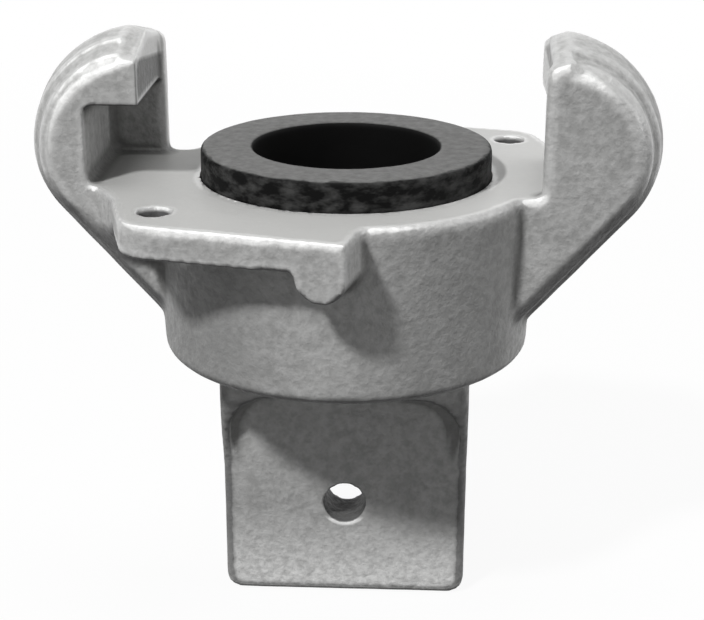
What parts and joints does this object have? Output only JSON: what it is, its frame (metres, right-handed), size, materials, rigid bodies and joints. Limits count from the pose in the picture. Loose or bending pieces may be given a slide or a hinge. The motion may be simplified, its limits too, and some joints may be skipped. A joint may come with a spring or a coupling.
{
  "type": "claw hose coupling",
  "caption": "Blank end claw coupling for air hose, with opposed hooked claws, ramped locking lugs, a rubber face washer and a flat tang with a chain hole.",
  "frame": {"origin": "centre of the casting's sealing face, on the coupling's axis", "axes": "+Z along the coupling's axis, out of the face towards the mating half; the claws stand on +X and -X, the locking lugs on -Y and +Y, and the tang hangs down -Z"},
  "size_m": [0.0718, 0.0552, 0.0697],
  "materials": {
    "zinc_plated_casting": "zinc plated, fine sand-cast texture",
    "black_rubber": "dull moulded rubber"
  },
  "bodies": {
    "root": {"coupling_body": "zinc_plated_casting", "sealing_washer": "black_rubber"}
  },
  "joints": []
}
